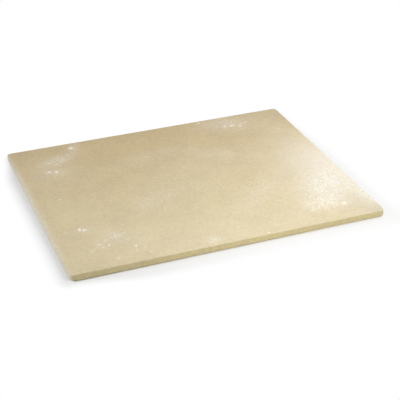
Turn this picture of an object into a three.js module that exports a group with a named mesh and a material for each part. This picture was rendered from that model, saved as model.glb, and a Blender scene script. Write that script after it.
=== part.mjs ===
// Rectangular baking stone: one pressed and fired cordierite slab, flat on both faces.
// Units are millimetres and +Z is up. The origin is the middle of the underside,
// X runs along the long side and Y along the short side.
import * as THREE from "three";

// Driving dimensions
const STONE_LENGTH = 430;
const STONE_WIDTH = 350;
const STONE_THICKNESS = 10;

// Upright corners, seen from above
const CORNER_RADIUS = 5;

// Rounded rims between the flat faces and the side wall: crisp round the baking face,
// rounder round the underside, where the bottom of the press mould was hollowed
const UPPER_ARRIS_RADIUS = 1;
const LOWER_ARRIS_RADIUS = 2;

// Flat facets that stand for each quarter circle
const CORNER_FACETS = 16;
const ARRIS_FACETS = 6;

// Fired cordierite: a pale sandy buff with no shine
const firedCordierite = new THREE.MeshStandardMaterial({
  color: 0xd3c5a1,
  roughness: 0.92,
  metalness: 0,
});

// Rectangle with round corners, centred on the origin and drawn anticlockwise.
function roundedRectangle(length, width, radius) {
  const right = length / 2;
  const back = width / 2;
  const quarter = Math.PI / 2;
  const outline = new THREE.Shape();
  outline.moveTo(right, back - radius);
  outline.absarc(right - radius, back - radius, radius, 0, quarter);
  outline.absarc(radius - right, back - radius, radius, quarter, 2 * quarter);
  outline.absarc(radius - right, radius - back, radius, 2 * quarter, 3 * quarter);
  outline.absarc(right - radius, radius - back, radius, 3 * quarter, 4 * quarter);
  outline.closePath();
  return outline;
}

// Quarter circle from a flat face, at full inset and no rise, to the side wall.
function quarterRound(radius) {
  return Array.from({ length: ARRIS_FACETS + 1 }, (_, step) => {
    const turn = (Math.PI / 2) * (step / ARRIS_FACETS);
    return { inset: radius * (1 - Math.sin(turn)), rise: radius * (1 - Math.cos(turn)) };
  });
}

// Section of the rim, from the edge of the underside up to the edge of the top face:
// how far each point lies inside the side wall, and its height.
function rimSection() {
  const lower = quarterRound(LOWER_ARRIS_RADIUS);
  const upper = quarterRound(UPPER_ARRIS_RADIUS).reverse();
  return [
    ...lower.map(({ inset, rise }) => ({ inset, height: rise })),
    ...upper.map(({ inset, rise }) => ({ inset, height: STONE_THICKNESS - rise })),
  ];
}

// One closed ring of points round the slab. The corner keeps its centre at every inset.
// An arc has two facets for each division that getPoints is given.
function ring({ inset, height }) {
  const outline = roundedRectangle(
    STONE_LENGTH - 2 * inset,
    STONE_WIDTH - 2 * inset,
    CORNER_RADIUS - inset,
  );
  const points = outline.getPoints(CORNER_FACETS / 2).slice(0, -1);
  return points.map(({ x, y }) => new THREE.Vector3(x, y, height));
}

// Two triangles for each step round the slab, between one ring and the ring above it.
function band(lower, count) {
  const upper = lower + count;
  return Array.from({ length: count }, (_, step) => {
    const next = (step + 1) % count;
    return [
      [lower + step, lower + next, upper + next],
      [lower + step, upper + next, upper + step],
    ];
  }).flat(2);
}

// The rim section carried round the outline, closed by the two flat faces.
function slabGeometry() {
  const rings = rimSection().map(ring);
  const count = rings[0].length;
  const top = count * (rings.length - 1);
  const face = THREE.ShapeUtils.triangulateShape(rings[0], []);
  const slab = new THREE.BufferGeometry().setFromPoints(rings.flat());
  slab.setIndex([
    ...face.flatMap(([a, b, c]) => [a, c, b]),
    ...rings.slice(1).flatMap((_, level) => band(level * count, count)),
    ...face.flatMap(([a, b, c]) => [top + a, top + b, top + c]),
  ]);
  slab.computeVertexNormals();
  return slab;
}

function bakingStone() {
  const stone = new THREE.Mesh(slabGeometry(), firedCordierite);
  stone.name = "baking_stone";
  return stone;
}

const plate = new THREE.Group();
plate.name = "pizza_plate";
plate.add(bakingStone());

export default plate;
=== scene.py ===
# %% [markdown]
# # A baking stone, dusted with flour
#
# The object is one slab of cordierite, pressed in a steel die and fired until it is hard, pale
# and thirsty. It has two flat faces, a rounded rim and four rounded corners, and nothing moves.
# The CAD slab is loaded first and stays fixed. This lesson lays a finer skin over it, works out
# where flour has fallen, gives stone and flour their finish, and lights them as a packshot.
# Lengths are in metres; names that end in MM hold millimetres.

# %% Load the frame
import math

import bpy
import numpy as np
from mathutils import Matrix, Vector


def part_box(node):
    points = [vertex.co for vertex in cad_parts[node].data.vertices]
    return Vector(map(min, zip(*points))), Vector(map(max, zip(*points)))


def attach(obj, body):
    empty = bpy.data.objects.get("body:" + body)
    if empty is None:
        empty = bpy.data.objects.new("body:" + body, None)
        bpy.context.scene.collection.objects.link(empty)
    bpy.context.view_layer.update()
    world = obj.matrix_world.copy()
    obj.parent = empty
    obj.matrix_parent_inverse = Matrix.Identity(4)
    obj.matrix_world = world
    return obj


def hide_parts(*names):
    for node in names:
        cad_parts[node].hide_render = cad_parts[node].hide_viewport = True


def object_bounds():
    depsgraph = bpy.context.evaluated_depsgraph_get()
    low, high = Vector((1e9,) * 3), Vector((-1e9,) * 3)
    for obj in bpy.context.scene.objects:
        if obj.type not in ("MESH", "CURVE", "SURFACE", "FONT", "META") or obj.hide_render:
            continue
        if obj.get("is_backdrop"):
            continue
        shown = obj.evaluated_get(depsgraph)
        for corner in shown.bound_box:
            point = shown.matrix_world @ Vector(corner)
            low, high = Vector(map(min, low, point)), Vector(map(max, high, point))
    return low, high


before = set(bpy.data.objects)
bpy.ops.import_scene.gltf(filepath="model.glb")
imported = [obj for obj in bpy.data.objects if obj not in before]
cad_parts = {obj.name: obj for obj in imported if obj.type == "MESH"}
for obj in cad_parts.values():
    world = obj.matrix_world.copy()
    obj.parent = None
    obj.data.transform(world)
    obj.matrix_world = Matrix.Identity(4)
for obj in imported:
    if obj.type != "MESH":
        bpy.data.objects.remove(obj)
cad_low, cad_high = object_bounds()
print("CAD box from", tuple(round(v, 4) for v in cad_low), "to", tuple(round(v, 4) for v in cad_high))

# %% [markdown]
# ## The camera
#
# The picture looks down on the stone from the front left, through a longish lens, so the far
# side is only a little narrower than the near one. Blender's cameras can be aimed with a Track To
# constraint, but a constraint cannot hold a small roll. Here the three axes of the camera are
# worked out from its angles and written straight into its matrix.

# %% Place the camera
CAMERA_AZIMUTH = math.radians(-20.87)
CAMERA_ELEVATION = math.radians(29.16)
CAMERA_ROLL = math.radians(-0.53)
CAMERA_DISTANCE = 1.488
CAMERA_TARGET = Vector((0.0038, -0.0425, 0.0))
CAMERA_LENS_MM = 98.07
CAMERA_SENSOR_MM = 36.0


def direction(azimuth, elevation):
    """Unit vector towards a place round the object. Azimuth 0 is in front, 90 degrees is to the right."""
    level = math.cos(elevation)
    return Vector((math.sin(azimuth) * level, -math.cos(azimuth) * level, math.sin(elevation)))


def camera_matrix():
    """The camera's axes and place: X right, Y up and Z backwards, all turned about Z by the roll."""
    back = direction(CAMERA_AZIMUTH, CAMERA_ELEVATION)
    place = CAMERA_TARGET + back * CAMERA_DISTANCE
    aimed = back.to_track_quat("Z", "Y").to_matrix()
    rolled = aimed @ Matrix.Rotation(CAMERA_ROLL, 3, "Z")
    return Matrix.Translation(place) @ rolled.to_4x4()


camera = bpy.data.objects.new("camera", bpy.data.cameras.new("camera"))
bpy.context.scene.collection.objects.link(camera)
camera.data.lens = CAMERA_LENS_MM
camera.data.sensor_width = CAMERA_SENSOR_MM
camera.matrix_world = camera_matrix()
bpy.context.scene.camera = camera
print("camera at", tuple(round(v, 3) for v in camera.matrix_world.translation))

# %% [markdown]
# ## The flat faces
#
# A die-pressed slab is flat on both sides, with a round corner where the die's corner was milled.
# A box with a Bevel modifier would give that outline, but its faces would be single polygons with
# nothing to carry unevenness or a dusting map. So each face is a grid of points. Away from the
# corners the grid is plain. In the four corner boxes its squares are bent into quarter circles.

# %% Grid lines and the rounded sheet
CORNER_RADIUS = 0.0050
UPPER_ARRIS = 0.0010
LOWER_ARRIS = 0.0020
CORNER_CELLS = 8
CELL = 0.0020

stone_low, stone_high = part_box("baking_stone")
LENGTH = stone_high.x - stone_low.x
WIDTH = stone_high.y - stone_low.y
THICKNESS = stone_high.z - stone_low.z


def side_lines(half, radius):
    """Grid lines across one side: even steps between the corner boxes, finer even steps inside them."""
    inner_cells = round(2 * (half - radius) / CELL)
    inner = np.linspace(radius - half, half - radius, inner_cells + 1)
    box = np.linspace(0, radius, CORNER_CELLS + 1)
    return np.concatenate([box[:-1] - half, inner, half - radius + box[1:]])


def rounded_sheet(inset):
    """Rectangle with round corners, set in from the wall: a grid of XY points and outward directions.

    A point that is a and b box widths out into a corner box moves to the distance max(a, b) from
    the box's inner corner, at 45 degrees times min / max from the longer of the two.
    """
    half_length, half_width, radius = LENGTH / 2 - inset, WIDTH / 2 - inset, CORNER_RADIUS - inset
    lines = side_lines(half_length, radius), side_lines(half_width, radius)
    x, y = np.meshgrid(*lines, indexing="ij")
    a = np.maximum(np.abs(x) - (half_length - radius), 0) / radius
    b = np.maximum(np.abs(y) - (half_width - radius), 0) / radius
    far = np.maximum(a, b)
    turn = math.pi / 4 * np.divide(np.minimum(a, b), far, out=np.zeros_like(far), where=far > 0)
    along = far * np.cos(turn)
    across = far * np.sin(turn)
    out_x = np.sign(x) * np.where(a >= b, along, across)
    out_y = np.sign(y) * np.where(a >= b, across, along)
    inner_x = np.clip(x, radius - half_length, half_length - radius)
    inner_y = np.clip(y, radius - half_width, half_width - radius)
    points = np.stack([inner_x + radius * out_x, inner_y + radius * out_y], -1)
    return points, np.stack([out_x, out_y], -1)


top_sheet, outward = rounded_sheet(UPPER_ARRIS)
under_sheet, _ = rounded_sheet(LOWER_ARRIS)
print("each face is a grid of", top_sheet.shape[0], "by", top_sheet.shape[1], "points")

# %% [markdown]
# ## The rim
#
# Between the faces runs the rim: a crisp quarter round above, an upright wall, and a rounder quarter
# round below, where the press mould was hollowed. Its section is one profile, and it is carried
# along the line of the wall. At each point the profile is set in against that point's outward
# direction, so the rounds turn the corners by themselves. The rim shares its first and last ring
# with the two faces, which closes the mesh.

# %% Profile and rings of the rim
ARRIS_STEPS = 6
WALL_STEPS = 4


def walk_round(grid):
    """The values on the edge of a grid, once round, anticlockwise seen from above."""
    return np.concatenate([grid[:-1, 0], grid[-1, :-1], grid[:0:-1, -1], grid[0, :0:-1]])


def quarter_round(radius):
    """Inset, distance from the face and turn along a round, from next to a face to the wall.

    At the turn t the inset is r (1 - sin t) and the distance from the face is r (1 - cos t).
    """
    turn = np.linspace(0, math.pi / 2, ARRIS_STEPS + 1)[1:]
    return radius * (1 - np.sin(turn)), radius * (1 - np.cos(turn)), turn


def rim_profile():
    """Section of the rim between the faces, downwards: inset from the wall, height, and turn from level."""
    upper_inset, drop, upper_turn = quarter_round(UPPER_ARRIS)
    lower_inset, rise, lower_turn = quarter_round(LOWER_ARRIS)
    wall_height = np.linspace(THICKNESS - UPPER_ARRIS, LOWER_ARRIS, WALL_STEPS + 1)[1:-1]
    upright = np.zeros_like(wall_height)
    inset = np.concatenate([upper_inset, upright, lower_inset[::-1]])
    height = np.concatenate([THICKNESS - drop, wall_height, rise[::-1]])
    turn = np.concatenate([upper_turn, upright + math.pi / 2, lower_turn[::-1]])
    return inset, height, turn


wall_points = walk_round(rounded_sheet(0)[0])
wall_outward = walk_round(outward)
wall_step = np.linalg.norm(np.roll(wall_points, -1, 0) - wall_points, axis=1)
wall_along = np.concatenate([[0], np.cumsum(wall_step)[:-1]])
WALL_LENGTH = wall_step.sum()
rim_inset, rim_height, rim_turn = rim_profile()
print("the rim has", len(rim_inset), "rings of", len(wall_points), "points")
print("once round the wall is", round(WALL_LENGTH, 3), "m")

# %% [markdown]
# ## Unevenness from pressing, firing and handling
#
# A fired slab is never quite true: its faces wave by about a tenth of a millimetre, and its rim has
# lost grains here and there, so the arris is soft in one place and crisp in the next. The two front
# corners have been knocked in use, so they come out blunter and lower than the others. Sculpting
# would do all this by hand. Sums of cosine waves and bell curves do it by formula, repeat exactly on
# every run, and close without a seam round the rim when whole waves fit into its length.

# %% Waves on the faces
FACE_WAVE = 0.00006
FACE_WAVE_COUNT = 14
FACE_WAVE_LENGTHS = 0.05, 0.22
TOP_SEED = 11
UNDERSIDE_SEED = 12
UNDERSIDE_RANGE = -1, 3
FADE_WIDTH = 0.010


def long_waves(points, seed):
    """Unevenness with unit spread: a sum of cosine waves of drawn direction, length and phase."""
    draw = np.random.default_rng(seed)
    heading = draw.uniform(0, 2 * math.pi, FACE_WAVE_COUNT)
    length = np.exp(draw.uniform(*np.log(FACE_WAVE_LENGTHS), FACE_WAVE_COUNT))
    phase = draw.uniform(0, 2 * math.pi, FACE_WAVE_COUNT)
    waves = np.stack([np.cos(heading), np.sin(heading)]) * (2 * math.pi / length)
    return np.cos(points @ waves + phase).sum(-1) * math.sqrt(2 / FACE_WAVE_COUNT)


def edge_fade(points):
    """0 on the edge of a face and 1 from FADE_WIDTH inwards, so that waves die out at the rim."""
    to_side = np.minimum(LENGTH / 2 - np.abs(points[..., 0]), WIDTH / 2 - np.abs(points[..., 1]))
    return np.clip((to_side - LOWER_ARRIS) / FADE_WIDTH, 0, 1)


def top_height(points):
    """Height of the uneven top face above the origin."""
    return THICKNESS + FACE_WAVE * long_waves(points, TOP_SEED) * edge_fade(points)


def underside_height(points):
    """Height of the uneven underside, which never goes below the surface that it rests on."""
    waves = long_waves(points, UNDERSIDE_SEED).clip(*UNDERSIDE_RANGE)
    return FACE_WAVE * (1 + waves) * edge_fade(points)


top_waves = top_height(top_sheet) - THICKNESS
print("the top face waves by", round(1000 * top_waves.min(), 3), "to", round(1000 * top_waves.max(), 3), "mm")

# %% Wear along the rim
RIM_WEAR = 0.00009
RIM_WAVE_COUNT = 40
RIM_WAVE_TURNS = 12, 160
RIM_WAVE_LIFT = 0.6
NICK_COUNT = 34
NICK_DEPTHS = 0.0001, 0.00045
NICK_HALF_WIDTHS = 0.0018, 0.0045
UPPER_WEAR_SEED = 21
LOWER_WEAR_SEED = 22


def rim_wear(seed):
    """Depth worn off the arris along the rim: whole cosine waves round it, lifted, lows cut off, plus nicks.

    A nick at the distance d from its middle takes away its depth times exp(-(d / half width)^2).
    """
    draw = np.random.default_rng(seed)
    turns = draw.integers(*RIM_WAVE_TURNS, RIM_WAVE_COUNT)
    phase = draw.uniform(0, 2 * math.pi, RIM_WAVE_COUNT)
    angle = 2 * math.pi * wall_along[:, None] / WALL_LENGTH
    waves = np.cos(angle * turns + phase).sum(1) * math.sqrt(2 / RIM_WAVE_COUNT)
    place = draw.uniform(0, WALL_LENGTH, NICK_COUNT)
    depth = draw.uniform(*NICK_DEPTHS, NICK_COUNT)
    half_width = draw.uniform(*NICK_HALF_WIDTHS, NICK_COUNT)
    gap = np.abs(wall_along[:, None] - place)
    gap = np.minimum(gap, WALL_LENGTH - gap)
    nicks = (depth * np.exp(-(gap / half_width) ** 2)).sum(1)
    return RIM_WEAR * np.maximum(waves + RIM_WAVE_LIFT, 0) + nicks


wear_above, wear_below = rim_wear(UPPER_WEAR_SEED), rim_wear(LOWER_WEAR_SEED)
print("worn off the upper arris: on average", round(1000 * wear_above.mean(), 3), "mm, at most",
      round(1000 * wear_above.max(), 3), "mm")

# %% Knocks on the front corners
MILLIMETRE = 0.001

# Each knock: the side of its corner along X and along Y, and 1 for the top of the corner or 0 for its
# foot; then, in millimetres, the push along X, Y and Z, and the reach
KNOCKS = [
    (-1, -1, 1, 0.6, 0.6, -2.2, 5.0),
    (-1, -1, 0, 1.8, 1.8, 0.0, 6.5),
    (1, -1, 1, 0.0, 0.0, -1.7, 7.0),
    (1, -1, 0, -0.4, 0.9, 0.3, 7.0),
]


def knocked(points):
    """Points near a knocked corner, pushed away from it.

    At the level distance d from the corner, a knock pushes by its own push times exp(-(d / reach)^2).
    That is whole at the end of the corner that it struck, and fades with height to nothing at the other.
    """
    for side_x, side_y, end, *lengths in KNOCKS:
        *push, reach = np.array(lengths) * MILLIMETRE
        away = points[:, :2] - np.array([side_x * LENGTH / 2, side_y * WIDTH / 2])
        level = 1 - np.abs(points[:, 2] - end * THICKNESS) / THICKNESS
        share = level * np.exp(-(away ** 2).sum(1) / reach ** 2)
        points = points + share[:, None] * np.array(push)
    return points


front_left_tip = np.array([[-LENGTH / 2, -WIDTH / 2, THICKNESS]])
tip_drop = THICKNESS - knocked(front_left_tip)[0, 2]
print("knocks lower the front left tip by", round(1000 * tip_drop, 2), "mm")

# %% [markdown]
# ## Where the flour lies
#
# Loose flour whitens the top face: a thin veil in the pores everywhere, smears where it was swept,
# a broad pale film towards the right, and pinches that fell in one spot. The film on the right is
# partly flour and partly a painted highlight where the light is strongest. A pale film on the left
# wall is partly flour and partly painted sheen, and painted shade darkens the corners. Such a map
# could be painted, but a painted map is an image. Here it is a sum of soft ovals, each with a place,
# a size, the share that it hides, and an evenness that tells a film from a scatter of specks. The
# stone's material reads the shares from the mesh as attributes, and the crumbs further down are
# scattered by the same map, so that the haze and the lumps belong together. The places are listed.

# %% Patches of flour and of painted shade
FLOUR_VEIL = 0.08
EVERYWHERE_MM = 9000

# Each patch: x, y, half length, half width, turn in degrees, share hidden in its middle, evenness
FLOUR_PATCHES_MM = [
    (0, 0, EVERYWHERE_MM, EVERYWHERE_MM, 0, FLOUR_VEIL, 0.4),
    (20, -175, 320, 150, 0, 0.16, 0.5),
    (-190, 0, 60, 130, 0, 0.06, 0.6),
    # Partly flour and partly painted sheen: pale bands along the left edge of the top, running into the left
    # wall
    (-216, -10, 190, 5.5, 90, 0.33, 0.6),
    (-216, 95, 80, 6, 90, 0.16, 0.6),
    # Partly flour and partly painted highlight: the broad pale film on the right, where the light is
    # strongest
    (205, -30, 100, 60, 90, 0.53, 0.6),
    (169, -86, 40, 30, 30, 0.44, 0.0),
    (213, -122, 34, 13, 85, 0.46, 0.3),
    (206, 150, 60, 60, 0, 0.05, 0.6),
    (150, -125, 32, 15, 15, 0.34, 0.0),
    (176, -138, 13, 8, 10, 0.16, 0.0),
    (-24, -162, 14, 8, 20, 0.18, 0.0),
    (-122, -118, 34, 18, -35, 0.05, 0.0),
    (-138, -104, 16, 8, -50, 0.18, 0.0),
    (-160, -118, 14, 10, 20, 0.10, 0.0),
    (-170, -77, 12, 7, 10, 0.12, 0.0),
    (-150, 128, 30, 11, 20, 0.30, 0.0),
    (-120, 158, 15, 9, 60, 0.26, 0.0),
    (-164, 92, 28, 18, 5, 0.13, 0.0),
    (-158, 84, 42, 46, 0, 0.05, 0.5),
    (118, 151, 40, 24, -10, 0.26, 0.25),
    (20, 20, 105, 66, 25, 0.08, 0.4),
    (66, 62, 48, 20, -25, 0.10, 0.0),
    (-58, -34, 44, 16, 35, 0.12, 0.0),
    (-30, 88, 58, 15, 12, 0.10, 0.0),
    (84, -66, 50, 18, 40, 0.14, 0.0),
]

# Painted shade on corners of the top face and ends of the front wall, where less light falls: patches of the
# same kind
PAINTED_SHADE_PATCHES_MM = [
    (218, -172, 75, 32, 90, 0.52),
    (-213, 172, 45, 40, 0, 0.20),
    (214, 138, 40, 16, 90, 0.18),
    (-212, -178, 80, 14, 0, 0.20),
    (-214, -124, 42, 24, 90, 0.12),
]
WALL_PAINTED_SHADE_PATCHES_MM = [
    (-205, -175, 100, 20, 0, 0.25),
    (205, -175, 70, 20, 0, 0.10),
]

print(len(FLOUR_PATCHES_MM), "patches of flour and", len(PAINTED_SHADE_PATCHES_MM), "of smoke on the top face")

# %% Pinches of flour
PINCH_HALO = 1.2
PINCH_MARGIN_MM = 1.0
PINCH_COVER = 0.33
PINCH_CROWD = 8.0

# Each pinch: x, y, spread, crumbs in it
FLOUR_PINCHES_MM = [
    (-123, 158, 1.6, 100),
    (-125, 161, 2.0, 10),
    (-121, 153, 1.6, 5),
    (-162, 92, 1.5, 56),
    (-172, 95, 1.6, 40),
    (-168, 94, 3.0, 5),
    (-143, 123, 1.2, 16),
    (-150, 130, 8.0, 12),
    (-157, 115, 1.0, 3),
    (-164, 121, 1.4, 4),
    (-170, 127, 1.4, 3),
    (-178, 13, 0.9, 4),
    (-194, -74, 0.9, 2),
    (-169, -78, 1.4, 30),
    (-175, -76, 1.3, 24),
    (-162, -120, 0.9, 10),
    (-151, -112, 0.9, 11),
    (-159, -127, 0.9, 8),
    (-151, -125, 0.9, 10),
    (-170, -128, 1.2, 4),
    (-174, -134, 1.2, 4),
    (-133, -107, 5.0, 16),
    (-143, -90, 3.0, 7),
    (-120, -140, 1.0, 22),
    (-122, -150, 1.0, 3),
    (-149, -159, 0.8, 10),
    (-105, -159, 0.9, 1),
    (-23, -163, 3.2, 14),
    (64, -158, 1.2, 4),
    (48, -172, 1.2, 3),
    (173, -140, 1.6, 44),
    (125, -141, 1.0, 12),
    (161, -135, 1.0, 15),
    (154, -130, 1.0, 12),
    (150, -116, 1.1, 12),
    (145, -141, 1.2, 6),
    (131, -132, 1.2, 5),
    (138, -135, 1.2, 5),
    (146, -128, 11.0, 70),
    (162, -133, 8.0, 40),
    (152, -116, 14.0, 45),
    (165, -92, 1.2, 9),
    (187, -50, 1.2, 5),
    (180, -74, 22.0, 110),
    (211, -143, 2.4, 26),
    (211, -115, 2.6, 28),
    (189, 104, 1.0, 5),
    (125, 142, 5.0, 8),
    (127, 141, 1.5, 34),
    (115, 142, 1.4, 18),
    (141, 140, 1.2, 10),
    (150, 144, 1.1, 8),
    (138, 133, 1.2, 10),
    (82, 168, 1.2, 14),
    (-52, -30, 9.0, 10),
    (70, 60, 12.0, 10),
    (-26, 86, 10.0, 8),
    (86, -64, 12.0, 12),
]


def pinch_patches():
    """A round patch of fine flour under each pinch, thicker the more crumbs it has for its spread.

    With c crumbs to the square of its spread, it hides PINCH_COVER times 1 - exp(-c / PINCH_CROWD).
    """
    x, y, reach, count = np.array(FLOUR_PINCHES_MM, float).T
    half = PINCH_HALO * reach + PINCH_MARGIN_MM
    crowding = count / reach ** 2
    share = PINCH_COVER * (1 - np.exp(-crowding / PINCH_CROWD))
    nothing = np.zeros_like(half)
    return np.stack([x, y, half, half, nothing, share, nothing], -1)


FLOUR = np.concatenate([np.array(FLOUR_PATCHES_MM, float), pinch_patches()])
print(len(FLOUR_PINCHES_MM), "pinches with", sum(pinch[-1] for pinch in FLOUR_PINCHES_MM), "crumbs")

# %% The dusting map
def patch_shares(points, patches):
    """Share that each patch of a list hides at each point.

    Along and across its own turned axes, a patch hides its share times exp(-(u^2 + v^2)), with u
    and v counted in its half length and half width.
    """
    x, y, half_length, half_width, degrees, share, *_ = np.array(patches, float).T
    away_x = points[..., :1] / MILLIMETRE - x
    away_y = points[..., 1:] / MILLIMETRE - y
    turn = np.radians(degrees)
    u = (away_x * np.cos(turn) + away_y * np.sin(turn)) / half_length
    v = (away_y * np.cos(turn) - away_x * np.sin(turn)) / half_width
    return share * np.exp(-(u ** 2 + v ** 2))


def patch_cover(points, patches):
    """Share hidden by a list of patches together: 1 minus the product of what each leaves bare."""
    return 1 - np.prod(1 - patch_shares(points, patches), axis=-1)


def dusting(points):
    """Share of the top face hidden by flour: the veil, the patches and the pinches."""
    return patch_cover(points, FLOUR)


def film(points):
    """How even the flour lies: the evenness of all patches, each counted by what it hides at the point."""
    shares = patch_shares(points, FLOUR)
    return (shares * FLOUR[:, -1]).sum(-1) / shares.sum(-1)


face_dusting = dusting(top_sheet)
print("flour hides", round(100 * float(face_dusting.mean())), "% of the top face, at most",
      round(100 * float(face_dusting.max())), "%")

# %% [markdown]
# ## Putting the skin together
#
# The points of both faces and of the rim's rings go into one list, and the faces are rows of four
# numbers into it. They are worked out as whole arrays from the grids of numbers. The skin stands
# for the CAD slab, which stays in the file and is no longer shown.

# %% Points of the skin
DIAGONAL = math.sqrt(0.5)


def rim_points():
    """Rings of the rim: wall point less the inset along its outward direction, less what is worn away.

    Wear moves a point along the diagonal of its round, as much inwards as away from the face, by the
    wear times sin 2t. So it is whole in the middle of the round, and nothing at the face and at the wall.
    """
    upper = (np.arange(len(rim_inset)) < len(rim_inset) / 2)[:, None]
    worn = np.where(upper, wear_above, wear_below) * np.sin(2 * rim_turn)[:, None]
    inset = rim_inset[:, None] + worn * DIAGONAL
    height = rim_height[:, None] + np.where(upper, -worn, worn) * DIAGONAL
    level = wall_points - inset[..., None] * wall_outward
    return np.concatenate([level, height[..., None]], -1)


def skin_points():
    """Points of the top face, of the underside and of the rim's rings in one list, with the knocks."""
    top = np.concatenate([top_sheet, top_height(top_sheet)[..., None]], -1)
    under = np.concatenate([under_sheet, underside_height(under_sheet)[..., None]], -1)
    return knocked(np.concatenate([part.reshape(-1, 3) for part in (top, under, rim_points())]))


stone_points = skin_points()
print("the skin has", len(stone_points), "points")

# %% Quads of the skin
def grid_quads(ids):
    """The squares of a grid of point numbers, each anticlockwise where the grid is seen from above."""
    corners = ids[:-1, :-1], ids[1:, :-1], ids[1:, 1:], ids[:-1, 1:]
    return np.stack(corners, -1).reshape(-1, 4)


def skin_quads():
    """Squares of both faces and of the rim, whose first and last rings are the edges of the faces."""
    top_ids = np.arange(top_sheet[..., 0].size).reshape(top_sheet.shape[:2])
    under_ids = top_ids + top_ids.size
    ring_shape = len(rim_inset), len(wall_points)
    ring_ids = 2 * top_ids.size + np.arange(math.prod(ring_shape)).reshape(ring_shape)
    rings = np.concatenate([walk_round(top_ids)[None], ring_ids, walk_round(under_ids)[None]])
    rings = np.concatenate([rings, rings[:, :1]], 1)
    upper, lower = rings[:-1], rings[1:]
    rim = np.stack([lower[:, :-1], lower[:, 1:], upper[:, 1:], upper[:, :-1]], -1)
    return np.concatenate([grid_quads(top_ids), grid_quads(under_ids)[:, ::-1], rim.reshape(-1, 4)])


stone_quads = skin_quads()
print("and", len(stone_quads), "squares")

# %% Shares that the finish reads
# Flour and painted sheen on the left wall: the share it hides and how even it lies
LEFT_WALL_DUST_AND_SHEEN = 0.55
LEFT_WALL_EVENNESS = 0.75


def rim_values(at_top, on_wall):
    """Values on the rim's rings: the face's own values at the top, which fade into the wall's below."""
    near_top = np.clip(1 - (THICKNESS - rim_height) / UPPER_ARRIS, 0, 1)[:, None]
    return near_top * at_top + (1 - near_top) * on_wall


def skin_shares():
    """Flour, its evenness, the turn to the side and painted shade, for every point of the skin.

    The underside has none of them. The pale film on the wall, partly flour and partly painted sheen, goes by
    the square of how far it faces left.
    """
    bare = np.zeros(face_dusting.size)
    edge = walk_round(top_sheet)
    wall_dust_and_sheen = LEFT_WALL_DUST_AND_SHEEN * np.maximum(-wall_outward[:, 0], 0) ** 2
    rim_flour = rim_values(dusting(edge), wall_dust_and_sheen)
    rim_film = rim_values(film(edge), LEFT_WALL_EVENNESS)
    rim_side = np.repeat(np.sin(rim_turn), len(wall_points))
    painted_shade = patch_cover(top_sheet, PAINTED_SHADE_PATCHES_MM)
    rim_painted_shade = rim_values(walk_round(painted_shade), patch_cover(wall_points, WALL_PAINTED_SHADE_PATCHES_MM))
    return {
        "flour": np.concatenate([face_dusting.ravel(), bare, rim_flour.ravel()]),
        "film": np.concatenate([film(top_sheet).ravel(), bare, rim_film.ravel()]),
        "side": np.concatenate([bare, bare, rim_side]),
        "painted_shade": np.concatenate([painted_shade.ravel(), bare, rim_painted_shade.ravel()]),
    }


stone_shares = skin_shares()
print("highest shares:", {label: round(float(values.max()), 2) for label, values in stone_shares.items()})

# %% The skin as an object
def mesh_object(name, points, faces, attributes=None):
    """A smooth mesh object at the origin, with one number per point for each attribute."""
    mesh = bpy.data.meshes.new(name)
    mesh.from_pydata(points.tolist(), [], [face.tolist() for face in faces])
    mesh.polygons.foreach_set("use_smooth", np.ones(len(mesh.polygons), bool))
    for label, values in (attributes or {}).items():
        layer = mesh.attributes.new(label, "FLOAT", "POINT")
        layer.data.foreach_set("value", values.astype(np.float32))
    mesh.update()
    piece = bpy.data.objects.new(name, mesh)
    bpy.context.scene.collection.objects.link(piece)
    return piece


stone = mesh_object("stone_skin", stone_points, stone_quads, stone_shares)
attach(stone, "root")
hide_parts("baking_stone")
print("stone skin:", len(stone.data.vertices), "points,", 2 * len(stone.data.polygons), "triangles")

# %% [markdown]
# ## Crumbs of flour
#
# Flour is damp enough to hold together in crumbs, and these are the bright specks in the haze. Each
# is a small squashed ball with a flat bottom. A particle system could scatter them, but its
# instances are awkward to export. So the crumbs are one mesh, worked out together: one ball, as a
# grid of turn and height, times the drawn size, bend and place of every crumb.

# %% Draw places and sizes for the crumbs
CRUMB_SEED = 5
LOOSE_CRUMBS = 420
TRIES_PER_CRUMB = 8
SURE_SHARE = 0.7
CRUMB_RADII = 0.00022, 0.00060
PINCHED_CRUMB_RADII = 0.00034, 0.00105
CRUMB_MARGIN = 0.001

draw = np.random.default_rng(CRUMB_SEED)


def pinched_crumbs():
    """Crumbs round each pinch's middle, thinning outwards as a bell curve of the pinch's spread."""
    pinch = np.array(FLOUR_PINCHES_MM, float)
    row = np.repeat(np.arange(len(pinch)), pinch[:, 3].astype(int))
    places = pinch[row, :2] + draw.normal(0, 1, (len(row), 2)) * pinch[row, 2:3]
    radii = np.exp(draw.uniform(*np.log(PINCHED_CRUMB_RADII), len(row)))
    return places * MILLIMETRE, radii


def loose_crumbs():
    """Crumbs anywhere on the face, each kept with the chance that the dusting map gives there.

    The chance is the share hidden beyond half the veil, over SURE_SHARE.
    """
    tries = LOOSE_CRUMBS * TRIES_PER_CRUMB
    half = np.array([LENGTH / 2, WIDTH / 2])
    places = draw.uniform(-1, 1, (tries, 2)) * half
    kept = draw.uniform(0, SURE_SHARE, tries) < dusting(places) - FLOUR_VEIL / 2
    radii = np.exp(draw.uniform(*np.log(CRUMB_RADII), tries))
    return places[kept][:LOOSE_CRUMBS], radii[kept][:LOOSE_CRUMBS]


def on_face(places, radii):
    """Only the crumbs that lie wholly on the flat of the top face."""
    margin = UPPER_ARRIS + CRUMB_MARGIN
    inside = (np.abs(places[:, 0]) < LENGTH / 2 - margin) & (np.abs(places[:, 1]) < WIDTH / 2 - margin)
    return places[inside], radii[inside]


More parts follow.
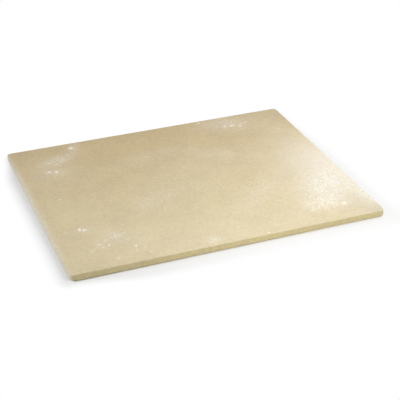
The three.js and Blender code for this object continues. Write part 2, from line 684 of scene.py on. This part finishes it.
pinched, loose = pinched_crumbs(), loose_crumbs()
crumb_places, crumb_radii = on_face(*(np.concatenate(pair) for pair in zip(pinched, loose)))
print(len(crumb_places), "crumbs of flour, about", round(2000 * crumb_radii.min(), 2), "to",
      round(2000 * crumb_radii.max(), 2), "mm across")

# %% Shape the crumbs
CRUMB_TURNS = 7
CRUMB_RINGS = 3
CRUMB_STRETCH = 0.7, 1.5
CRUMB_FLATNESS = 0.35, 0.75
CRUMB_FOOT = 0.5
CRUMB_BUMPS = 0.22
BUMP_LIMITS = -2, 2
CRUMB_SINK = 0.00004


def ball_grid():
    """Points of a ball: CRUMB_RINGS level rings of CRUMB_TURNS points between a low and a high pole."""
    rise = np.linspace(-math.pi / 2, math.pi / 2, CRUMB_RINGS + 2)[1:-1]
    turn = np.arange(CRUMB_TURNS) * 2 * math.pi / CRUMB_TURNS
    rise, turn = np.meshgrid(rise, turn, indexing="ij")
    ring = np.stack([np.cos(rise) * np.cos(turn), np.cos(rise) * np.sin(turn), np.sin(rise)], -1)
    return np.concatenate([[[0, 0, -1]], ring.reshape(-1, 3), [[0, 0, 1]]])


def ball_faces():
    """Triangles round both poles and squares between the rings, all facing outwards."""
    ids = 1 + np.arange(CRUMB_RINGS * CRUMB_TURNS).reshape(CRUMB_RINGS, CRUMB_TURNS)
    after = np.roll(ids, -1, 1)
    low = np.stack([np.zeros(CRUMB_TURNS, int), after[0], ids[0]], -1)
    high = np.stack([np.full(CRUMB_TURNS, ids.max() + 1), ids[-1], after[-1]], -1)
    squares = np.stack([ids[:-1], after[:-1], after[1:], ids[1:]], -1).reshape(-1, 4)
    return np.concatenate([low, high]), squares


def crumb_points(places, radii):
    """Every crumb's ball: points pushed in or out by drawn shares, flattened, cut flat below, set down.

    CRUMB_FOOT is the share of the lower half that stays above the cut, and the crumb stands CRUMB_SINK
    deep in the stone.
    """
    ball = ball_grid()
    bumps = 1 + CRUMB_BUMPS * draw.normal(0, 1, (len(places), len(ball), 1)).clip(*BUMP_LIMITS)
    lump = ball * bumps * radii[:, None, None]
    lump[..., 0] *= draw.uniform(*CRUMB_STRETCH, (len(places), 1))
    lump[..., 2] *= draw.uniform(*CRUMB_FLATNESS, (len(places), 1))
    foot = CRUMB_FOOT * lump[..., 2].min(1, keepdims=True)
    lump[..., 2] = np.maximum(lump[..., 2], foot) - foot
    turn = draw.uniform(0, 2 * math.pi, (len(places), 1))
    x = lump[..., 0] * np.cos(turn) - lump[..., 1] * np.sin(turn) + places[:, :1]
    y = lump[..., 0] * np.sin(turn) + lump[..., 1] * np.cos(turn) + places[:, 1:]
    z = lump[..., 2] + top_height(places)[:, None] - CRUMB_SINK
    return knocked(np.stack([x, y, z], -1).reshape(-1, 3))


triangles, squares = ball_faces()
first = np.arange(len(crumb_places))[:, None, None] * len(ball_grid())
crumb_faces = list((triangles + first).reshape(-1, 3)) + list((squares + first).reshape(-1, 4))
crumbs = mesh_object("flour_crumbs", crumb_points(crumb_places, crumb_radii), crumb_faces)
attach(crumbs, "root")
print("crumbs:", len(crumbs.data.polygons), "faces in one mesh")

# %% [markdown]
# ## Nodes with less typing
#
# A material is a graph of nodes. A few small helpers make a node with its values set, link an
# output to an input, and put the nodes that come up most often on one line. The rest of the lesson
# can then read like a recipe.

# %% Helpers for single nodes
def add_node(tree, kind, values=None, **settings):
    """A new node of one kind, with settings on the node and values on its inputs, by name or number."""
    node = tree.nodes.new(kind)
    for key, value in settings.items():
        setattr(node, key, value)
    for key, value in (values or {}).items():
        node.inputs[key].default_value = value
    return node


def link(tree, source, target):
    """Joins an output socket to an input socket."""
    tree.links.new(source, target)


def noise(tree, vector, size_mm, detail, roughness):
    """Noise whose lumps are about size_mm across, from 0 to 1 round a middle of one half."""
    values = {"Scale": 1000 / size_mm, "Detail": detail, "Roughness": roughness}
    node = add_node(tree, "ShaderNodeTexNoise", values)
    link(tree, vector, node.inputs["Vector"])
    return node.outputs["Fac"]


def arithmetic(tree, operation, first, second, third=None, clamp=False):
    """A Math node; each input is a socket or a plain number."""
    node = add_node(tree, "ShaderNodeMath", operation=operation, use_clamp=clamp)
    for place, value in enumerate((first, second, third)):
        if isinstance(value, bpy.types.NodeSocket):
            link(tree, value, node.inputs[place])
        elif value is not None:
            node.inputs[place].default_value = value
    return node.outputs[0]


def spread(tree, value, low, high, to_low, to_high):
    """Maps low to high onto to_low to to_high along a soft S, held at both ends."""
    values = {"From Min": low, "From Max": high, "To Min": to_low, "To Max": to_high}
    node = add_node(tree, "ShaderNodeMapRange", values, interpolation_type="SMOOTHSTEP")
    link(tree, value, node.inputs["Value"])
    return node.outputs["Result"]


# The Mix node repeats the names of its sockets for numbers, vectors and colours, so these go by number
MIX_SHARE, MIX_FIRST, MIX_SECOND, MIX_RESULT = 0, 6, 7, 2


def blend_colours(tree, share, first, second, mode="MIX"):
    """Mixes two colours, each a socket or a plain colour, by a share that is a socket or a number."""
    node = add_node(tree, "ShaderNodeMix", data_type="RGBA", blend_type=mode)
    for place, value in ((MIX_SHARE, share), (MIX_FIRST, first), (MIX_SECOND, second)):
        if isinstance(value, bpy.types.NodeSocket):
            link(tree, value, node.inputs[place])
        else:
            node.inputs[place].default_value = value
    return node.outputs[MIX_RESULT]


print("helpers for single nodes ready")

# %% Helpers for groups, materials and shaders
def new_group(name, inputs, outputs):
    """An empty shader node group with named sockets: (name, kind, value) in, and (name, kind) out."""
    group = bpy.data.node_groups.new(name, "ShaderNodeTree")
    for label, kind, value in inputs:
        socket = group.interface.new_socket(label, in_out="INPUT", socket_type=kind)
        if value is not None:
            socket.default_value = value
    for label, kind in outputs:
        group.interface.new_socket(label, in_out="OUTPUT", socket_type=kind)
    return group, group.nodes.new("NodeGroupInput"), group.nodes.new("NodeGroupOutput")


def empty_tree(owner):
    """The graph of a new material or world, cleared."""
    owner.use_nodes = True
    owner.node_tree.nodes.clear()
    return owner.node_tree


def new_material(name):
    """A material with an empty graph but for its output and a Principled BSDF."""
    material = bpy.data.materials.new(name)
    tree = empty_tree(material)
    output = tree.nodes.new("ShaderNodeOutputMaterial")
    shader = tree.nodes.new("ShaderNodeBsdfPrincipled")
    link(tree, shader.outputs["BSDF"], output.inputs["Surface"])
    return material, tree, shader


def bump(tree, shader, height, values):
    """Turns a height into the shading of a Principled BSDF."""
    node = add_node(tree, "ShaderNodeBump", values)
    link(tree, height, node.inputs["Height"])
    link(tree, node.outputs["Normal"], shader.inputs["Normal"])


def mix_shaders(tree, share, first, second):
    """A node that mixes the shaders of two nodes by a share that is a socket."""
    node = add_node(tree, "ShaderNodeMixShader")
    for place, socket in enumerate((share, first.outputs[0], second.outputs[0])):
        link(tree, socket, node.inputs[place])
    return node


print("helpers for groups, materials and shaders ready")

# %% [markdown]
# ## Grain
#
# Stone and flour are both made of grains, at different sizes. Speckle from an image would do for
# one picture, but it would stretch over the rim. Noise in the object's own space runs through
# stone and rim alike. The grain is a node group with its size as an input, built once and used in
# both materials: fine speckle, a slower mottle, and the height that the grains stand proud.

# %% The grain group
GRAINS_PER_METRE = 1800.0
SPECKLE_NOISE = {"Detail": 2.0, "Roughness": 0.6}
MOTTLE_NOISE = {"Detail": 3.0, "Roughness": 0.62}
MOTTLE_SCALE = 0.14
MOTTLE_HEIGHT = 0.5


def grain_group():
    """Speckle and mottle from 0 to 1, and a height, at the grain's own size."""
    inputs = [("Vector", "NodeSocketVector", None),
              ("Grains per metre", "NodeSocketFloat", GRAINS_PER_METRE)]
    outputs = [("Speckle", "NodeSocketFloat"), ("Mottle", "NodeSocketFloat"), ("Height", "NodeSocketFloat")]
    group, taken, given = new_group("grain", inputs, outputs)
    size = taken.outputs["Grains per metre"]
    speckle = add_node(group, "ShaderNodeTexNoise", SPECKLE_NOISE)
    link(group, taken.outputs["Vector"], speckle.inputs["Vector"])
    link(group, size, speckle.inputs["Scale"])
    mottle = add_node(group, "ShaderNodeTexNoise", MOTTLE_NOISE)
    link(group, taken.outputs["Vector"], mottle.inputs["Vector"])
    link(group, arithmetic(group, "MULTIPLY", size, MOTTLE_SCALE), mottle.inputs["Scale"])
    height = arithmetic(group, "MULTIPLY_ADD", mottle.outputs["Fac"], MOTTLE_HEIGHT, speckle.outputs["Fac"])
    link(group, speckle.outputs["Fac"], given.inputs["Speckle"])
    link(group, mottle.outputs["Fac"], given.inputs["Mottle"])
    link(group, height, given.inputs["Height"])
    return group


def use_grain(tree, vector, size_mm):
    """The grain group in a material, for grains of about size_mm."""
    node = add_node(tree, "ShaderNodeGroup", node_tree=GRAIN)
    node.inputs["Grains per metre"].default_value = 1000 / size_mm
    link(tree, vector, node.inputs["Vector"])
    return node.outputs


GRAIN = grain_group()
print("group", GRAIN.name, "puts out", [s.name for s in GRAIN.interface.items_tree if s.in_out == "OUTPUT"])

# %% [markdown]
# ## Dust
#
# Flour does not lie as an even film. It catches in the grain, so a thin dusting is a scatter of
# specks and a thick one has bare specks left in it. The dust group takes the share to hide and
# multiplies it by noise of two sizes, round a middle of 1. What comes out is a mask that hides the
# share it was given on the whole, but is ragged at every scale. Where the finest flour has settled
# as a film, a second input draws the mask back towards the even share.

# %% The dust group
DEFAULT_SHARE = 0.2
SPECK_MM = 1.3
SPECK_RANGE = 0.37, 0.63
SPECK_FACTORS = 0.0, 1.45
DRIFT_MM = 9.0
DRIFT_RANGE = 0.32, 0.68
DRIFT_FACTORS = 0.09, 0.46


def dust_group():
    """Ragged cover from an even share: the share times a factor between bare and double.

    Evenness draws the factor towards 1, for dust that sits as a film.
    """
    inputs = [("Vector", "NodeSocketVector", None), ("Share", "NodeSocketFloat", DEFAULT_SHARE),
              ("Evenness", "NodeSocketFloat", 0.0)]
    group, taken, given = new_group("dust", inputs, [("Cover", "NodeSocketFloat")])
    vector = taken.outputs["Vector"]
    fine = noise(group, vector, SPECK_MM, detail=3.0, roughness=0.7)
    broad = noise(group, vector, DRIFT_MM, detail=4.0, roughness=0.6)
    specks = spread(group, fine, *SPECK_RANGE, *SPECK_FACTORS)
    drift = spread(group, broad, *DRIFT_RANGE, *DRIFT_FACTORS)
    ragged = arithmetic(group, "ADD", specks, drift)
    smoothing = arithmetic(group, "SUBTRACT", 1.0, ragged)
    factor = arithmetic(group, "MULTIPLY_ADD", smoothing, taken.outputs["Evenness"], ragged)
    cover = arithmetic(group, "MULTIPLY", taken.outputs["Share"], factor, clamp=True)
    link(group, cover, given.inputs["Cover"])
    return group


DUST = dust_group()
print("group", DUST.name, "puts out", [s.name for s in DUST.interface.items_tree if s.in_out == "OUTPUT"])

# %% [markdown]
# ## Fired cordierite
#
# The stone is a warm sandy buff without any shine: tiny pale and ochre grains, a faint slow
# mottle from the kiln, and open pinholes, painted dark as the shade inside them. It is a little
# redder towards the back. As painted shade it is darker and greyer on the side wall, and duller at
# the corners and at the ends of the front wall. Three colours mixed by the grain group give the
# body, and the mesh's own shares shift it from place to place. Pinholes are the middles of Voronoi
# cells, kept small and few. The dusting goes over all of it, whitens the colour and stands a little
# proud. The Bump node turns the heights into shading.

# %% The stone's colour
BODY = (0.635, 0.514, 0.270, 1)
FLUSHED_BODY = (0.645, 0.495, 0.262, 1)
# Painted shade: a darker, greyer body for the wall than for the top
SHADED_SIDE_BODY = (0.538, 0.457, 0.248, 1)
# Painted shade at the corners and at the ends of the front wall
PAINTED_SHADE_COLOUR = (0.37, 0.312, 0.185, 1)
PALE_GRAIN = (0.77, 0.660, 0.42, 1)
OCHRE_GRAIN = (0.47, 0.350, 0.168, 1)
FLUSH_RANGE = -0.12, 0.17
PALE_RANGE = 0.52, 0.70
PALE_MOST = 0.45
OCHRE_RANGE = 0.48, 0.32
OCHRE_MOST = 0.41
NOISE_RANGE = 0.3, 0.7
MOTTLE_SHADES = 0.94, 1.06
KILN_MM = 38.0
KILN_SHADES = -0.04, 0.04


def share_of(tree, label):
    """The share that the mesh holds for each point under one of its attributes."""
    return add_node(tree, "ShaderNodeAttribute", attribute_name=label).outputs["Fac"]


def body_colour(tree, vector, grain):
    """Buff, flushed to the back, darker and greyer on the wall as painted shade, then its grains, then
    painted shade at the corners, times a slow mottle.
    """
    place = add_node(tree, "ShaderNodeSeparateXYZ")
    link(tree, vector, place.inputs["Vector"])
    flush = spread(tree, place.outputs["Y"], *FLUSH_RANGE, 0.0, 1.0)
    pale = spread(tree, grain["Speckle"], *PALE_RANGE, 0.0, PALE_MOST)
    ochre = spread(tree, grain["Speckle"], *OCHRE_RANGE, 0.0, OCHRE_MOST)
    body = blend_colours(tree, flush, BODY, FLUSHED_BODY)
    # Painted shade: the wall faces sideways and gets less light, so it is given a darker, greyer body
    body = blend_colours(tree, share_of(tree, "side"), body, SHADED_SIDE_BODY)
    body = blend_colours(tree, pale, body, PALE_GRAIN)
    body = blend_colours(tree, ochre, body, OCHRE_GRAIN)
    # Painted shade: darker where less light reaches the corners and the ends of the front wall
    body = blend_colours(tree, share_of(tree, "painted_shade"), body, PAINTED_SHADE_COLOUR)
    kiln = noise(tree, vector, KILN_MM, detail=3.0, roughness=0.55)
    shade = arithmetic(tree, "ADD", spread(tree, grain["Mottle"], *NOISE_RANGE, *MOTTLE_SHADES),
                       spread(tree, kiln, *NOISE_RANGE, *KILN_SHADES))
    shade_colour = add_node(tree, "ShaderNodeCombineColor")
    for channel in ("Red", "Green", "Blue"):
        link(tree, shade, shade_colour.inputs[channel])
    return blend_colours(tree, 1.0, body, shade_colour.outputs["Color"], "MULTIPLY")


print("the kiln's mottle is about", KILN_MM, "mm across")

# %% The stone's material
STONE_GRAIN_MM = 0.55
STONE_ROUGHNESS = 0.88, 0.98
STONE_SPECULAR = 0.3
STONE_BUMP = {"Strength": 0.55, "Distance": 0.00025}
PINHOLE_CELL_MM = 5.0
PINHOLE_EDGE = 0.05, 0.09
PINHOLE_CHOICE = 0.55
PINHOLE_HEIGHT = -2.5
# Painted shade inside the pinholes
PINHOLE_SHADE = (0.30, 0.225, 0.12, 1)
FLOUR_HEIGHT = 1.2
FLOUR_WHITE = (0.95, 0.925, 0.86, 1)


def pinholes(tree, vector):
    """1 in the pinholes and 0 elsewhere: Voronoi cells with a dark dot in some of them."""
    cells = add_node(tree, "ShaderNodeTexVoronoi", {"Scale": 1000 / PINHOLE_CELL_MM, "Randomness": 1.0})
    link(tree, vector, cells.inputs["Vector"])
    dot = spread(tree, cells.outputs["Distance"], *PINHOLE_EDGE, 1.0, 0.0)
    pick = add_node(tree, "ShaderNodeSeparateColor")
    link(tree, cells.outputs["Color"], pick.inputs["Color"])
    chosen = arithmetic(tree, "GREATER_THAN", pick.outputs["Red"], PINHOLE_CHOICE)
    return arithmetic(tree, "MULTIPLY", dot, chosen)


def cordierite_material():
    """The body's colour, pinholes and dusting on a matte Principled BSDF."""
    material, tree, shader = new_material("fired_cordierite")
    vector = add_node(tree, "ShaderNodeTexCoord").outputs["Object"]
    grain = use_grain(tree, vector, STONE_GRAIN_MM)
    holes = pinholes(tree, vector)
    # Painted shade: the pinholes are painted dark, as the shade inside them
    body = blend_colours(tree, holes, body_colour(tree, vector, grain), PINHOLE_SHADE)
    dust = add_node(tree, "ShaderNodeGroup", node_tree=DUST)
    link(tree, vector, dust.inputs["Vector"])
    link(tree, share_of(tree, "flour"), dust.inputs["Share"])
    link(tree, share_of(tree, "film"), dust.inputs["Evenness"])
    cover = dust.outputs["Cover"]
    link(tree, blend_colours(tree, cover, body, FLOUR_WHITE), shader.inputs["Base Color"])
    link(tree, spread(tree, cover, 0.0, 1.0, *STONE_ROUGHNESS), shader.inputs["Roughness"])
    shader.inputs["Specular IOR Level"].default_value = STONE_SPECULAR
    height = arithmetic(tree, "MULTIPLY_ADD", holes, PINHOLE_HEIGHT, grain["Height"])
    bump(tree, shader, arithmetic(tree, "MULTIPLY_ADD", cover, FLOUR_HEIGHT, height), STONE_BUMP)
    return material


stone.data.materials.append(cordierite_material())
print("stone finish:", len(stone.data.materials[0].node_tree.nodes), "nodes")

# %% [markdown]
# ## Flour
#
# A crumb of flour is a soft cream with no shine at all. It uses the grain group at a finer size,
# so that close up it is a powder and not a pebble.

# %% The flour's material
CRUMB_CREAM = (0.95, 0.868, 0.70, 1)
CRUMB_WHITE = (0.985, 0.93, 0.81, 1)
CRUMB_GRAIN_MM = 0.12
CRUMB_ROUGHNESS = 1.0
CRUMB_SPECULAR = 0.1
CRUMB_BUMP = {"Strength": 0.5, "Distance": 0.0001}


def flour_material():
    """Fine grain between cream and white on a fully rough Principled BSDF."""
    material, tree, shader = new_material("loose_flour")
    vector = add_node(tree, "ShaderNodeTexCoord").outputs["Object"]
    grain = use_grain(tree, vector, CRUMB_GRAIN_MM)
    tone = spread(tree, grain["Speckle"], *NOISE_RANGE, 0.0, 1.0)
    colour = blend_colours(tree, tone, CRUMB_CREAM, CRUMB_WHITE)
    link(tree, colour, shader.inputs["Base Color"])
    shader.inputs["Roughness"].default_value = CRUMB_ROUGHNESS
    shader.inputs["Specular IOR Level"].default_value = CRUMB_SPECULAR
    bump(tree, shader, grain["Height"], CRUMB_BUMP)
    return material


crumbs.data.materials.append(flour_material())
print("flour finish:", len(crumbs.data.materials[0].node_tree.nodes), "nodes")

# %% [markdown]
# ## Floor and background
#
# The stone lies on a white sweep that has no visible end. Only a soft shadow tells where the
# floor is. A brighter lamp would bleach the stone, so the white comes from the floor itself: where
# the camera sees it, it glows a little on top of the light that it gets, and it is plain white
# card to all other light. Where the stone keeps light away, the glow alone is left, and that is
# the shadow. A few centimetres out it turns to plain white, later in front of the stone and to its
# right, and sooner at the other corners. The crease under the front edge has no glow. The floor is
# clear from below and open under the stone, so that the room can light the underside.

# %% Where the floor turns white
ANY_HEIGHT = 1.0
WHITE_FROM = 0.002
WHITE_BY = 0.022
WHITE_LATER_IN_FRONT = 0.012
WHITE_SOONER_AT_FRONT_LEFT = 0.005
WHITE_LATER_AT_RIGHT = 0.010
WHITE_SOONER_AT_BACK_RIGHT = 0.004
WHITE_SOONER_AT_BACK_LEFT = 0.014
FRONT_FADE = -LENGTH / 2, -LENGTH / 2 + 0.110
RIGHT_FADE = 0.17, -0.05
BACK_LEFT_FADE = 0.10, 0.19


def floor_place(tree):
    """The floor point as a vector, and its X and Y."""
    vector = add_node(tree, "ShaderNodeTexCoord").outputs["Object"]
    parts = add_node(tree, "ShaderNodeSeparateXYZ")
    link(tree, vector, parts.inputs["Vector"])
    return vector, parts.outputs["X"], parts.outputs["Y"]


def vector_math(tree, operation, first, second=None):
    """A Vector Math node; the first input is a socket, the second a socket or a plain vector."""
    node = add_node(tree, "ShaderNodeVectorMath", operation=operation)
    link(tree, first, node.inputs[0])
    if isinstance(second, bpy.types.NodeSocket):
        link(tree, second, node.inputs[1])
    elif second is not None:
        node.inputs[1].default_value = second
    return node.outputs["Value" if operation == "LENGTH" else "Vector"]


def away_from_box(tree, vector, side, front, back):
    """Level distance of a floor point from a box on the floor, and 0 inside it.

    The box reaches to side on the left and right, and from front to back along Y. The distance is
    the length of what |x| and |y - middle| pass the box's half sides by.
    """
    centred = vector_math(tree, "SUBTRACT", vector, (0, (front + back) / 2, 0))
    size = vector_math(tree, "ABSOLUTE", centred)
    past = vector_math(tree, "SUBTRACT", size, (side, (back - front) / 2, ANY_HEIGHT))
    return vector_math(tree, "LENGTH", vector_math(tree, "MAXIMUM", past, (0, 0, 0)))


def turned_white(tree):
    """0 next to the stone and 1 out on the sweep.

    The change goes by the distance from the stone. Floor points are first shifted towards the stone
    where it comes later and away from the stone where it comes sooner.
    """
    vector, x, y = floor_place(tree)
    to_front = spread(tree, y, 0.0, -WIDTH / 2, 0.0, 1.0)
    to_right = spread(tree, x, 0.0, LENGTH / 2, 0.0, 1.0)
    to_left = spread(tree, x, 0.0, -LENGTH / 2, 0.0, 1.0)
    front = spread(tree, x, *FRONT_FADE, -WHITE_SOONER_AT_FRONT_LEFT, WHITE_LATER_IN_FRONT)
    right = spread(tree, y, *RIGHT_FADE, WHITE_SOONER_AT_BACK_RIGHT, -WHITE_LATER_AT_RIGHT)
    left = spread(tree, y, *BACK_LEFT_FADE, 0.0, -WHITE_SOONER_AT_BACK_LEFT)
    sideways = arithmetic(tree, "MULTIPLY_ADD", left, to_left, arithmetic(tree, "MULTIPLY", right, to_right))
    shift = add_node(tree, "ShaderNodeCombineXYZ")
    link(tree, sideways, shift.inputs["X"])
    link(tree, arithmetic(tree, "MULTIPLY", front, to_front), shift.inputs["Y"])
    shifted = vector_math(tree, "ADD", vector, shift.outputs["Vector"])
    away = away_from_box(tree, shifted, LENGTH / 2, -WIDTH / 2, WIDTH / 2)
    return spread(tree, away, WHITE_FROM, WHITE_BY, 0.0, 1.0)


print("the floor is white from", 1000 * WHITE_BY, "mm off the stone, later and sooner in places")

# %% The crease under the front edge
CREASE_SIDES = 0.0070
CREASE_WIDTH = 0.0035
CREASE_UNDER = 0.0012
CREASE_FILL = 0.8


def out_of_crease(tree):
    """0 in the crease under the stone's front edge and 1 beside it: no glow comes out from under there.

    Towards the right, light from that side fills the crease by a share.
    """
    vector, x, _ = floor_place(tree)
    side, front, back = LENGTH / 2 - CREASE_SIDES, CREASE_UNDER - WIDTH / 2, WIDTH / 2 - CREASE_SIDES
    away = away_from_box(tree, vector, side, front, back)
    filled = spread(tree, x, -LENGTH / 2, LENGTH / 2, 0.0, CREASE_FILL)
    return arithmetic(tree, "MAXIMUM", spread(tree, away, 0.0, CREASE_WIDTH, 0.0, 1.0), filled)


print("the crease is", 1000 * CREASE_WIDTH, "mm wide")

# %% Floor
FLOOR_SPREAD = 20
FLOOR_DROP = 0.00003
HOLE_INSET = 0.0023
PURE_WHITE = (1, 1, 1, 1)
CARD_WHITE = (0.86, 0.86, 0.86, 1)
CARD_SEEN = (0.565, 0.562, 0.553, 1)
FLOOR_GLOW = (0.305, 0.309, 0.319, 1)


def seen_directly(tree):
    """1 for rays from the camera and for what is mirrored or seen through glass, and 0 for the rest."""
    path = add_node(tree, "ShaderNodeLightPath")
    seen = arithmetic(tree, "MAXIMUM", path.outputs["Is Camera Ray"], path.outputs["Is Glossy Ray"])
    return arithmetic(tree, "MAXIMUM", seen, path.outputs["Is Transmission Ray"])


def floor_material():
    """White card to the scene's light. To the camera, greyer card with a glow, and white further out."""
    material = bpy.data.materials.new("white_sweep")
    tree = empty_tree(material)
    card = add_node(tree, "ShaderNodeBsdfDiffuse", {"Color": CARD_WHITE})
    shown = add_node(tree, "ShaderNodeBsdfDiffuse", {"Color": CARD_SEEN})
    glow = add_node(tree, "ShaderNodeEmission", {"Color": FLOOR_GLOW})
    link(tree, out_of_crease(tree), glow.inputs["Strength"])
    near = add_node(tree, "ShaderNodeAddShader")
    link(tree, shown.outputs[0], near.inputs[0])
    link(tree, glow.outputs[0], near.inputs[1])
    white = add_node(tree, "ShaderNodeEmission", {"Color": PURE_WHITE, "Strength": 1.0})
    sweep = mix_shaders(tree, turned_white(tree), near, white)
    from_above = mix_shaders(tree, seen_directly(tree), card, sweep)
    from_below = add_node(tree, "ShaderNodeBsdfTransparent")
    below = add_node(tree, "ShaderNodeNewGeometry").outputs["Backfacing"]
    one_sided = mix_shaders(tree, below, from_above, from_below)
    output = add_node(tree, "ShaderNodeOutputMaterial")
    link(tree, one_sided.outputs[0], output.inputs["Surface"])
    return material


def floor_frame():
    """A level frame between the outline of the flat underside and the same outline, spread far out."""
    outline = walk_round(rounded_sheet(HOLE_INSET)[0])
    hole = knocked(np.pad(outline, ((0, 0), (0, 1))))[:, :2]
    level = np.concatenate([hole * FLOOR_SPREAD, hole])
    points = np.concatenate([level, np.full((len(level), 1), -FLOOR_DROP)], 1)
    outer = np.arange(len(hole))
    after = np.roll(outer, -1)
    return points, np.stack([outer, after, after + len(hole), outer + len(hole)], -1)


floor = mesh_object("floor", *floor_frame())
floor.data.materials.append(floor_material())
floor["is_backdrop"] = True
print("floor", tuple(round(v, 2) for v in floor.dimensions[:2]), "m, open under the stone")

# %% [markdown]
# ## Light
#
# The light is an even white room and four soft lamps. The key softbox hangs in front of the stone,
# right of its middle, so that the front right is the brightest and the back left the dullest. A
# small softbox over the right edge lights the flour there. Two low reflectors fill the left wall and
# the right end of the front wall. One sun lamp would be simpler, but it would light the whole face
# evenly. Strengths are set so that a colour in the middle of the stone comes out about as it is
# written.

# %% Room and lamps
ROOM_STRENGTH = 0.55
LEFT_MIDDLE = Vector((-0.15, -0.02, THICKNESS))
FRONT_RIGHT = Vector((0.13, -WIDTH / 2, THICKNESS / 2))
RIGHT_MIDDLE = Vector((0.15, 0.02, THICKNESS))
BACK_RIGHT = Vector((0.15, 0.08, THICKNESS))


def room():
    """White to the camera, and an even weak light to everything else."""
    world = bpy.data.worlds.new("white_room")
    tree = empty_tree(world)
    light = add_node(tree, "ShaderNodeBackground", {"Color": PURE_WHITE, "Strength": ROOM_STRENGTH})
    white = add_node(tree, "ShaderNodeBackground", {"Color": PURE_WHITE, "Strength": 1.0})
    mix = mix_shaders(tree, seen_directly(tree), light, white)
    output = add_node(tree, "ShaderNodeOutputWorld")
    link(tree, mix.outputs[0], output.inputs["Surface"])
    return world


def softbox(name, target, azimuth, elevation, distance, size, watts):
    """A square lamp that faces its target. Azimuth and elevation are in degrees, as for the camera."""
    lamp = bpy.data.lights.new(name, "AREA")
    lamp.shape = "SQUARE"
    lamp.size = size
    lamp.energy = watts
    way = direction(math.radians(azimuth), math.radians(elevation))
    box = bpy.data.objects.new(name, lamp)
    turned = way.to_track_quat("Z", "Y").to_matrix().to_4x4()
    box.matrix_world = Matrix.Translation(target + way * distance) @ turned
    box.visible_camera = False
    bpy.context.scene.collection.objects.link(box)
    return box


bpy.context.scene.world = room()
softbox("key_softbox", BACK_RIGHT, azimuth=-7, elevation=39.5, distance=0.614, size=0.30, watts=1.45)
softbox("right_softbox", RIGHT_MIDDLE, azimuth=90, elevation=48, distance=0.26, size=0.20, watts=0.20)
softbox("left_reflector", LEFT_MIDDLE, azimuth=-90, elevation=26, distance=0.60, size=0.35, watts=0.74)
softbox("front_reflector", FRONT_RIGHT, azimuth=25, elevation=8, distance=0.45, size=0.20, watts=0.24)
bpy.context.scene.view_settings.view_transform = "Standard"

# %% [markdown]
# ## Measure and finish
#
# The box of the CAD slab and the box of everything shown, crumbs included, are printed.
# The skin may not make the stone any bigger than the CAD slab, but for the crumbs on top.

# %% Compare the boxes
visual_low, visual_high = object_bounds()
boxes = {
    "cad": [list(cad_low), list(cad_high)],
    "visual": [list(visual_low), list(visual_high)],
}
for label, (low, high) in boxes.items():
    print(label, "box from", [round(v, 4) for v in low], "to", [round(v, 4) for v in high])
